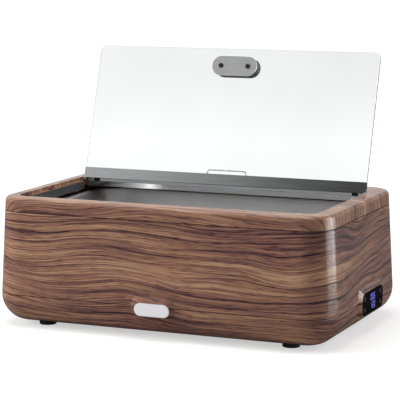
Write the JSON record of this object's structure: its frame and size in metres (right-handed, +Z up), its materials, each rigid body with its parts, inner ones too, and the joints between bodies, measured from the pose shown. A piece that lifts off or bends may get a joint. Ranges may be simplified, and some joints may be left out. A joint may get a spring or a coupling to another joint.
{
  "type": "electric chafing dish",
  "caption": "Electric chafing dish in a wood-look housing: hinged glass lid, lift-off frame, food pan over a heated water well, and a touch panel on one side.",
  "frame": {"origin": "centre of the footprint, on the surface that the feet stand on", "axes": "+Z up, +X along the long side towards the control panel, +Y to the back with the hinge"},
  "size_m": [0.6196, 0.3944, 0.4614],
  "materials": {
    "wood_look": "satin plastic with a printed walnut grain",
    "black_gloss": "polished",
    "white_badge": "satin, left bare",
    "lit_digit": "lit from behind",
    "touch_mark": "printed",
    "black_plastic": "moulded",
    "circuit_board": "coated board with parts",
    "inlet_brass": "plated",
    "screw_steel": "zinc plated",
    "brushed_stainless": "fine brushed",
    "well_stainless": "drawn, satin",
    "heater_steel": "heat-darkened sheath",
    "bright_aluminium": "bright sheet",
    "dark_liner": "dark satin coat",
    "black_rubber": "matt",
    "clear_glass": "tempered, polished edges",
    "white_bush": "plain"
  },
  "bodies": {
    "housing": {"base_shell": "wood_look", "wall_band": "wood_look", "tie_screws": "screw_steel", "rubber_feet": "black_rubber", "foot_screws": "screw_steel", "badge_plate": "white_badge", "control_panel": "black_gloss", "display_digits": "lit_digit", "touch_marks": "touch_mark", "display_module": "black_plastic", "control_board": "circuit_board", "control_posts": "black_plastic", "power_inlet": "black_plastic", "inlet_pins": "inlet_brass", "inlet_screws": "screw_steel", "power_board": "circuit_board", "board_screws": "screw_steel", "water_well": "well_stainless", "well_screws": "screw_steel", "heating_element": "heater_steel", "element_brackets": "screw_steel", "bracket_studs": "screw_steel", "heat_shield": "bright_aluminium", "shield_spacers": "screw_steel", "thermal_cutout": "black_plastic", "temperature_probe": "inlet_brass"},
    "food_pan": {"food_pan": "brushed_stainless"},
    "top_frame": {"top_frame": "wood_look", "frame_liner": "dark_liner", "liner_screws": "screw_steel", "ledge_pads": "black_rubber", "hinge_plate": "brushed_stainless", "hinge_plate_screws": "screw_steel", "hinge_bushes": "white_bush", "lid_stops": "black_rubber", "wire_loop": "brushed_stainless", "loop_nuts": "screw_steel"},
    "lid": {"lid_glass": "clear_glass", "hinge_rail": "brushed_stainless", "rail_seal": "black_rubber", "hinge_ears": "brushed_stainless", "ear_screws": "screw_steel", "hinge_pins": "screw_steel", "handle_plate": "brushed_stainless", "handle_gaskets": "black_rubber", "handle_grip": "black_plastic", "handle_screws": "screw_steel"}
  },
  "joints": [
    {"name": "frame_lift", "type": "slide", "parent": "housing", "child": "top_frame", "axis": [0, 0, 1], "range_m": [0, 0.25]},
    {"name": "lid_hinge", "type": "hinge", "parent": "top_frame", "child": "lid", "pos_m": [-0.0021, 0.10045, 0.2215], "axis": [1, 0, 0], "range_deg": [0, 108.1]},
    {"name": "pan_lift", "type": "slide", "parent": "housing", "child": "food_pan", "axis": [0, 0, 1], "range_m": [0, 0.125]}
  ],
  "couplings": [
    {"joint": "pan_lift", "follows": "frame_lift", "ratio": 0.5}
  ]
}
